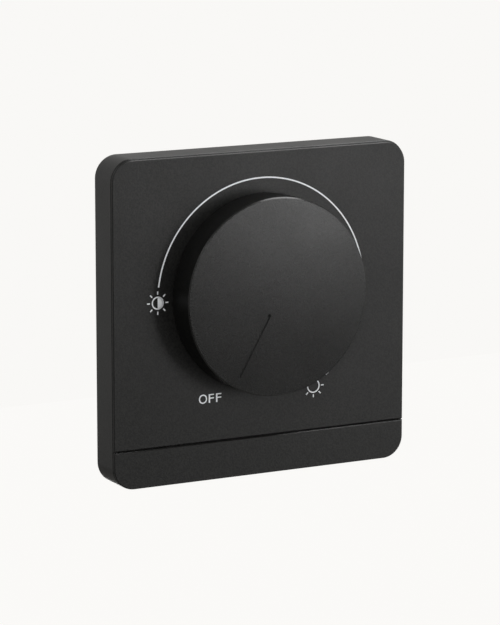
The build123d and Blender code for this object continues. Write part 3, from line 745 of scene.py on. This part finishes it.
def printed_sun(x, z, radius, ray_start):
    """A small sun: a ring of ink and the rays round it."""
    ring = settle(printed_arc("ring", radius, ring_width, 2 * pi, steps=48), x, z)
    ray = add_block(
        "ray",
        (ray_start, plate_front - film, -ray_width / 2),
        (ray_start + ray_length, plate_front, ray_width / 2),
    )
    rays = [settle(copy_of(ray), x, z, i * 2 * pi / ray_count) for i in range(ray_count)]
    bpy.data.objects.remove(ray)
    return [ring] + rays


def printed_letter(letter, low, high):
    """A letter of ink, fitted between two corners of its place on the plate."""
    bpy.ops.object.select_all(action="DESELECT")
    bpy.ops.object.text_add(rotation=(pi / 2, 0, 0))
    piece = bpy.context.object
    piece.data.body = letter
    piece.data.offset = letter_weight
    piece.data.extrude = film / 2
    bpy.ops.object.convert(target="MESH")
    bpy.ops.object.transform_apply(location=True, rotation=True, scale=True)
    small = Vector(piece.bound_box[0])
    large = Vector(piece.bound_box[6])
    piece.scale.x = (high[0] - low[0]) / (large.x - small.x)
    piece.scale.z = (high[1] - low[1]) / (large.z - small.z)
    piece.location.x = low[0] - small.x * piece.scale.x
    piece.location.y = plate_front - film / 2
    piece.location.z = low[1] - small.z * piece.scale.z
    bpy.ops.object.transform_apply(location=True, rotation=True, scale=True)
    close_film(piece)
    return piece


arc = printed_arc("arc", arc_r, arc_width, arc_start - arc_end, steps=150)
marks = [settle(arc, arc_x, arc_z, arc_end)]
marks += printed_sun(dim_x, dim_z, dim_r, dim_rays)
half_disc = printed_arc("half", dim_r / 2, dim_r, pi, steps=24)
marks += [settle(half_disc, dim_x, dim_z, -pi / 2)]
marks += printed_sun(bright_x, bright_z, bright_r, bright_rays)
marks += [printed_letter("O", (o_left, word_low), (o_right, word_high))]
for left in f_lefts:
    corner = (left + f_width, word_high - overshoot)
    marks += [printed_letter("F", (left, word_low + overshoot), corner)]
bpy.ops.object.select_all(action="DESELECT")
for mark in marks:
    mark.select_set(True)
bpy.context.view_layer.objects.active = marks[0]
bpy.ops.object.join()
scale_print = bpy.context.object
scale_print.name = "printed_scale"
# Screen ink is a flat pale grey, a little cooler than the plastic, with hardly any sheen.
ink = moulded(
    "pale screen ink", "#e0e2e6", "#eaecef", grain=0.3 * mm, depth=0.001 * mm, roughness=0.6, gloss=0.3
)
dress(scale_print, ink)
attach(scale_print, "base")

# Lower strip
# A separate charcoal polycarbonate strip along the bottom of the fascia, below a fine groove. Two pegs go
# through the front plate's tongue and are staked over behind it.
peg_r = 1.2 * mm
peg_head_r = 1.9 * mm


def is_round_side(face):
    """Whether a face of a rod belongs to its round side and not to its ends."""
    return abs(face.normal.y) < 0.1


strip = add_block(
    "lower_strip_face",
    (-face_half, plate_front, strip_bottom),
    (face_half, edge_back, strip_top),
)
bpy.ops.object.mode_set(mode="EDIT")
pick("EDGE", lambda edge: runs_deep(edge) and edge.verts[0].co.z < peg_z)
bpy.ops.mesh.bevel(offset=face_corner, segments=corner_steps, affect="EDGES")
pick("EDGE", lambda edge: lies_at(edge, plate_front))
bpy.ops.mesh.bevel(offset=edge_bevel, segments=1, affect="EDGES")
bpy.ops.object.mode_set(mode="OBJECT")
backing = add_block(
    "backing",
    (-core_half, edge_back - overlap, -core_half),
    (core_half, tongue_front, strip_top),
)
bpy.ops.object.mode_set(mode="EDIT")
pick("EDGE", lambda edge: runs_deep(edge) and edge.verts[0].co.z < peg_z)
bpy.ops.mesh.bevel(offset=core_corner, segments=corner_steps, affect="EDGES")
bpy.ops.object.mode_set(mode="OBJECT")
merge(strip, backing, "UNION")
for side in (-1, 1):
    peg = add_rod("peg", peg_r, tongue_front - root, core_back, side * peg_x, peg_z, vertices=24)
    bpy.ops.object.mode_set(mode="EDIT")
    pick("FACE", lambda face: lies_at(face, core_back))
    draw_out(y=strip_high.y - core_back)
    pick("FACE", lambda face: is_round_side(face) and face.calc_center_median().y > core_back)
    bpy.ops.mesh.extrude_region_shrink_fatten(
        TRANSFORM_OT_shrink_fatten={"value": peg_head_r - peg_r, "use_even_offset": True}
    )
    bpy.ops.object.mode_set(mode="OBJECT")
    merge(strip, peg, "UNION")
smooth(strip)
dress(strip, charcoal)
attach(strip, "base")
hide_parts("lower_strip")

# Knob
# The dial that sets the light: a hollow charcoal polycarbonate moulding, a little smoother than the plate.
# It has six ribs inside, a slit hub that a steel ring closes on the spindle, and a pointer groove. It is
# drawn a hair to the right of the spindle's axis and below it, as the photograph shows it.
rim_shrink = 0.03 * mm
knob_aside = 0.06 * mm
knob_drop = 0.08 * mm
knob_r = knob_high.x - rim_shrink
knob_front = knob_low.y
knob_base = knob_high.y
knob_wall = 2.0 * mm
knob_bevel = 0.34 * mm
hub_r = 5.0 * mm
hub_end = knob_base - 0.4 * mm
bore_r = 3.02 * mm
bore_depth = 6.2 * mm
bore_flat = 1.52 * mm
rib_thick = 1.2 * mm
rib_depth = 3.0 * mm
rib_count = 6
slit_width = 1.0 * mm
slit_depth = 4.2 * mm
rib_root = 0.5 * mm
off_angle = radians(240)
pointer_start = 5.4 * mm
pointer_end = 23.5 * mm
pointer_width = 0.8 * mm
pointer_depth = 0.3 * mm
pointer_runout = 0.5 * mm
pit_r = 0.42 * mm
pit_depth = 0.7 * mm

knob = add_rod("control_knob_shell", knob_r, knob_front, knob_base, 0, 0, vertices=160)
bpy.ops.object.mode_set(mode="EDIT")
pick("EDGE", lambda edge: lies_at(edge, knob_front))
bpy.ops.mesh.bevel(offset=knob_bevel, segments=1, affect="EDGES")
pick("EDGE", lambda edge: lies_at(edge, knob_base))
bpy.ops.mesh.bevel(offset=back_edge, segments=2, affect="EDGES")
pick("FACE", lambda face: lies_at(face, knob_base))
under = knob_front + knob_wall
bpy.ops.mesh.inset(thickness=knob_wall - back_edge)
draw_out(y=under - knob_base)
bpy.ops.mesh.inset(thickness=knob_r - knob_wall - hub_r)
draw_out(y=hub_end - under)
bpy.ops.mesh.inset(thickness=hub_r - bore_r)
draw_out(y=-bore_depth)
bpy.ops.object.mode_set(mode="OBJECT")

rib = add_block(
    "rib",
    (hub_r - rib_root, under - rib_root, -rib_thick / 2),
    (knob_r - knob_wall / 2, under + rib_depth, rib_thick / 2),
)
for i in range(rib_count):
    merge(knob, settle(copy_of(rib), 0, 0, off_angle + (i + 0.5) * 2 * pi / rib_count), "UNION")
bpy.data.objects.remove(rib)
key = add_block(
    "key",
    (bore_flat, hub_end - bore_depth - rib_root, -bore_r),
    ((bore_r + hub_r) / 2, hub_end, bore_r),
)
merge(knob, settle(key, 0, 0, off_angle + pi), "UNION")
slit = add_block(
    "slit",
    (-hub_r - overlap, hub_end - slit_depth, -slit_width / 2),
    (hub_r + overlap, hub_end + cutter_past, slit_width / 2),
)
merge(knob, settle(slit, 0, 0, off_angle + pi / 2), "DIFFERENCE")

groove_low, groove_high = knob_front - pointer_depth, knob_front + pointer_depth
cutter = add_rod("pointer", pointer_width / 2, groove_low, groove_high, pointer_start, 0, vertices=24)
bpy.ops.object.mode_set(mode="EDIT")
pick("FACE", lambda face: is_round_side(face) and face.calc_center_median().x > pointer_start)
draw_out(x=pointer_end - pointer_start)
groove_middle = (pointer_start + pointer_end) / 2
pick("EDGE", lambda edge: lies_at(edge, groove_high) and all(v.co.x > groove_middle for v in edge.verts))
bpy.ops.transform.translate(value=(-pointer_runout, 0, 0))
bpy.ops.object.mode_set(mode="OBJECT")
merge(knob, settle(cutter, 0, 0, off_angle), "DIFFERENCE")
pit = add_rod("pit", pit_r, knob_front - pit_depth, knob_front + pit_depth, pointer_start, 0, vertices=24)
merge(knob, settle(pit, 0, 0, off_angle), "DIFFERENCE")
settle(knob, knob_aside, knob_z - knob_drop)
smooth(knob)
# The face's fine grain shows the light as a soft gradient. The side is drawn with a deeper, duller grain,
# and its colour is painted darker than the face's: painted shade on the knob's round side.
satin = moulded(
    "satin charcoal polycarbonate",
    "#0e0e0e",
    "#171716",
    grain=0.3 * mm,
    depth=0.008 * mm,
    roughness=0.23,
    gloss=0.255,
)
dress(knob, satin)
grain_and_painted_shade = moulded(
    "grained charcoal polycarbonate",
    "#080808",
    "#121211",
    grain=0.4 * mm,
    depth=0.02 * mm,
    roughness=0.45,
    gloss=0.15,
)
knob.data.materials.append(grain_and_painted_shade)
# The knob's round side takes the darker copy of the plastic, which is painted shade.
for face in knob.data.polygons:
    at_the_rim = face.center.x ** 2 + (face.center.z - knob_z) ** 2 > (knob_r - knob_bevel) ** 2
    if at_the_rim and is_round_side(face):
        face.material_index = 1
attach(knob, "knob")
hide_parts("control_knob")
dress(nodes["knob_ring"], zinc)

# Floor and light
# A plain pale studio: a floor well below the switch and an even surround, both of which look white, and
# five softboxes. Two on the right grade the dark faces, and the others light the edges, left and back.
paper = "#f9f8f6"
floor_depth = 0.6
floor_width = 4.8


def share_of(owner, straight, glossy):
    """One share for what the camera sees directly or through glass, and a lesser one for reflections."""
    seen = add(owner, "LightPath").outputs
    sockets = {0: seen["Is Camera Ray"], 1: seen["Is Transmission Ray"]}
    direct = add(owner, "Math", sockets, operation="MAXIMUM")
    direct = add(owner, "Math", {0: direct.outputs["Value"], 1: straight}, operation="MULTIPLY")
    mirrored = add(owner, "Math", {0: seen["Is Glossy Ray"], 1: glossy}, operation="MULTIPLY")
    sockets = {0: direct.outputs["Value"], 1: mirrored.outputs["Value"]}
    return add(owner, "Math", sockets, operation="MAXIMUM")


bpy.ops.object.select_all(action="DESELECT")
bpy.ops.mesh.primitive_plane_add(size=floor_width, location=(0, 0, -floor_depth))
floor = bpy.context.object
floor.name = "studio_floor"
# Matte paint, plain grey for the light that falls on the switch. To the camera it glows, so that it looks as
# white and as even as the surround.
floor_paint = empty_material("matte floor paint")
share = share_of(floor_paint, straight=0.95, glossy=0.03)
glow = add(floor_paint, "Emission", {"Color": linear("#fffefc"), "Strength": 1.0})
paint = add(floor_paint, "BsdfDiffuse", {"Color": linear("#a3a29f")})
mix = add(
    floor_paint,
    "MixShader",
    {0: share.outputs["Value"], 1: paint.outputs["BSDF"], 2: glow.outputs["Emission"]},
)
add(floor_paint, "OutputMaterial", {"Surface": mix.outputs["Shader"]})
dress(floor, floor_paint)

studio = bpy.data.worlds.new("studio")
bpy.context.scene.world = studio
studio.use_nodes = True
studio.node_tree.nodes.clear()
share = share_of(studio, straight=1.0, glossy=0.325)
filling = add(studio, "Background", {"Color": linear(paper), "Strength": 0.5})
shown = add(studio, "Background", {"Color": linear(paper), "Strength": 1.0})
mix = add(
    studio,
    "MixShader",
    {0: share.outputs["Value"], 1: filling.outputs["Background"], 2: shown.outputs["Background"]},
)
add(studio, "OutputWorld", {"Surface": mix.outputs["Shader"]})


def add_softbox(name, place, width, height, power):
    """A soft rectangular lamp that faces the switch and stays out of the picture."""
    lamp = bpy.data.objects.new(name, bpy.data.lights.new(name, "AREA"))
    bpy.context.scene.collection.objects.link(lamp)
    lamp.data.shape = "RECTANGLE"
    lamp.data.size = width
    lamp.data.size_y = height
    lamp.data.energy = power
    lamp.location = place
    lamp.rotation_euler = lamp.location.to_track_quat("Z", "Y").to_euler()
    lamp.visible_camera = False


add_softbox("key_softbox", (0.212, -0.386, 0.034), width=0.06, height=0.17, power=0.32)
add_softbox("side_softbox", (0.85, -0.75, -0.2), width=0.5, height=0.6, power=1.6)
add_softbox("top_softbox", (0.28, -0.11, 0.52), width=0.25, height=0.25, power=2.0)
add_softbox("left_softbox", (-0.55, -0.75, 0.45), width=0.5, height=0.5, power=2.85)
add_softbox("back_softbox", (0.55, 0.8, -0.36), width=0.7, height=0.5, power=3.2)

# Camera
# The photograph's view: from the left and a little above, far off through a long lens, with everything
# sharp. It is aimed slightly past the switch's middle, as the picture is framed.
azimuth = radians(-27.94)
elevation = radians(10.82)
distance = 843.0 * mm
aside = 1.65 * mm
below = 1.52 * mm
lens = 182.2
camera = bpy.data.objects.new("camera", bpy.data.cameras.new("camera"))
bpy.context.scene.collection.objects.link(camera)
bpy.context.scene.camera = camera
back = Vector((sin(azimuth) * cos(elevation), -cos(azimuth) * cos(elevation), sin(elevation)))
right = Vector((cos(azimuth), sin(azimuth), 0))
camera.location = back * distance + right * aside - back.cross(right) * below
camera.rotation_euler = (pi / 2 - elevation, 0, azimuth)
camera.data.lens = lens
bpy.context.scene.view_settings.view_transform = "Standard"
